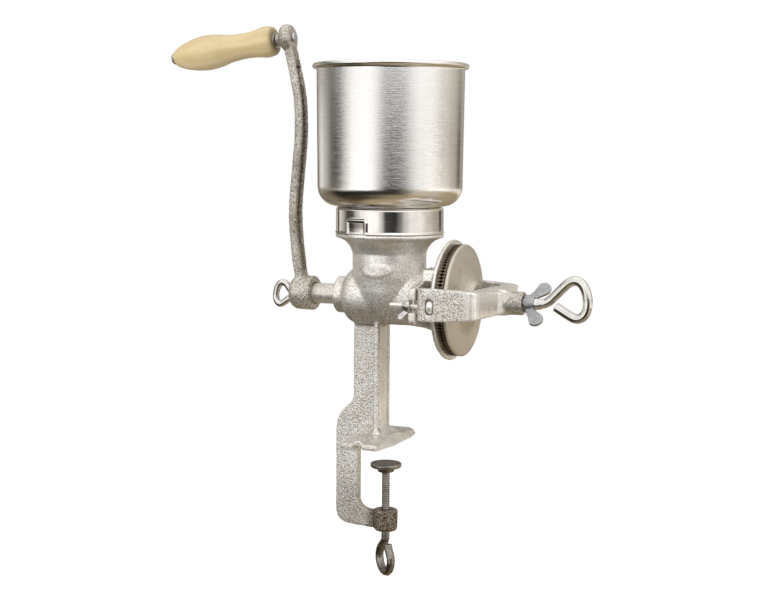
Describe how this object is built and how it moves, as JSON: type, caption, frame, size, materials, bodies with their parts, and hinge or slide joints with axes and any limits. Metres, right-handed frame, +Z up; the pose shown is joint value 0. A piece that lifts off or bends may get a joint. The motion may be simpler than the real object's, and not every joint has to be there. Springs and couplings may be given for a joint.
{
  "type": "hand-cranked grain mill",
  "caption": "Cast burr mill for grain with a steel hopper, worm feed, adjustable burr discs, long crank with a turned wooden grip and a screw clamp for a table edge.",
  "frame": {"origin": "on the table top, where the foot's underside rests, straight under the hopper's axis", "axes": "+Z up, +X along the shaft from the crank towards the burrs, -Y towards the side with the blank plate"},
  "size_m": [0.4014, 0.1358, 0.4913],
  "materials": {
    "tinned_casting": "tin plated rough sand casting",
    "brushed_cup": "satin brushed drawn steel",
    "polished_collar": "polished",
    "burr_iron": "bare cast teeth",
    "zinc_steel": "zinc plated",
    "dark_steel": "oiled dark steel",
    "ball_steel": "polished bearing ball",
    "pale_wood": "turned and clear lacquered"
  },
  "bodies": {
    "frame": {"housing": "tinned_casting", "stationary_burr": "burr_iron", "stationary_burr_screw_upper": "zinc_steel", "stationary_burr_screw_lower": "zinc_steel", "yoke": "tinned_casting", "yoke_bolt_front": "zinc_steel", "yoke_bolt_back": "zinc_steel"},
    "hopper": {"hopper_cup": "brushed_cup", "hopper_collar": "polished_collar"},
    "thrust": {"thrust_ball": "ball_steel"},
    "adjuster": {"adjusting_screw": "zinc_steel"},
    "lock_nut": {"lock_wing_nut": "zinc_steel"},
    "crank": {"auger": "tinned_casting", "rotating_disc": "tinned_casting", "rotating_burr": "burr_iron", "rotating_burr_screw_front": "zinc_steel", "rotating_burr_screw_back": "zinc_steel", "drive_pin": "zinc_steel", "crank_arm": "tinned_casting", "grip_bolt": "zinc_steel", "grip_washer": "dark_steel"},
    "crank_screw": {"crank_eye_screw": "zinc_steel"},
    "handle": {"grip": "pale_wood"},
    "nut_front": {"wing_nut_front": "zinc_steel"},
    "nut_back": {"wing_nut_back": "zinc_steel"},
    "clamp_plate": {"clamp_pad": "dark_steel"},
    "clamp_handle": {"clamp_screw": "dark_steel"}
  },
  "joints": [
    {"name": "hopper_lift", "type": "slide", "parent": "frame", "child": "hopper", "axis": [0, 0, 1], "range_m": [0, 0.08]},
    {"name": "burr_gap", "type": "slide", "parent": "frame", "child": "thrust", "axis": [1, 0, 0], "range_m": [-0.0004, 0.0025]},
    {"name": "adjust_turn", "type": "hinge", "parent": "thrust", "child": "adjuster", "pos_m": [0.14, 0, 0.129], "axis": [1, 0, 0], "range_deg": [-96.5, 600.5]},
    {"name": "lock_nut_turn", "type": "hinge", "parent": "adjuster", "child": "lock_nut", "pos_m": [0.13, 0, 0.129], "axis": [1, 0, 0], "continuous": true},
    {"name": "crank_spin", "type": "hinge", "parent": "thrust", "child": "crank", "pos_m": [0, 0, 0.129], "axis": [1, 0, 0], "continuous": true},
    {"name": "crank_screw_turn", "type": "hinge", "parent": "crank", "child": "crank_screw", "pos_m": [-0.09, 0, 0.129], "axis": [1, 0, 0], "continuous": true},
    {"name": "grip_spin", "type": "hinge", "parent": "crank", "child": "handle", "pos_m": [-0.0992, 0, 0.3556], "axis": [-0.9907, 0, -0.1357], "continuous": true},
    {"name": "nut_front_turn", "type": "hinge", "parent": "frame", "child": "nut_front", "pos_m": [0.04, -0.0585, 0.129], "axis": [1, 0, 0], "continuous": true},
    {"name": "nut_back_turn", "type": "hinge", "parent": "frame", "child": "nut_back", "pos_m": [0.04, 0.0585, 0.129], "axis": [1, 0, 0], "continuous": true},
    {"name": "clamp_travel", "type": "slide", "parent": "frame", "child": "clamp_plate", "axis": [0, 0, 1], "range_m": [-0.033, 0.007]},
    {"name": "clamp_turn", "type": "hinge", "parent": "clamp_plate", "child": "clamp_handle", "pos_m": [-0.002, 0, -0.06], "axis": [0, 0, 1], "range_deg": [-5941, 1261]}
  ],
  "couplings": [
    {"joint": "adjust_turn", "follows": "burr_gap", "rad_per_m": 4188.8},
    {"joint": "clamp_turn", "follows": "clamp_travel", "rad_per_m": 3141.6}
  ]
}
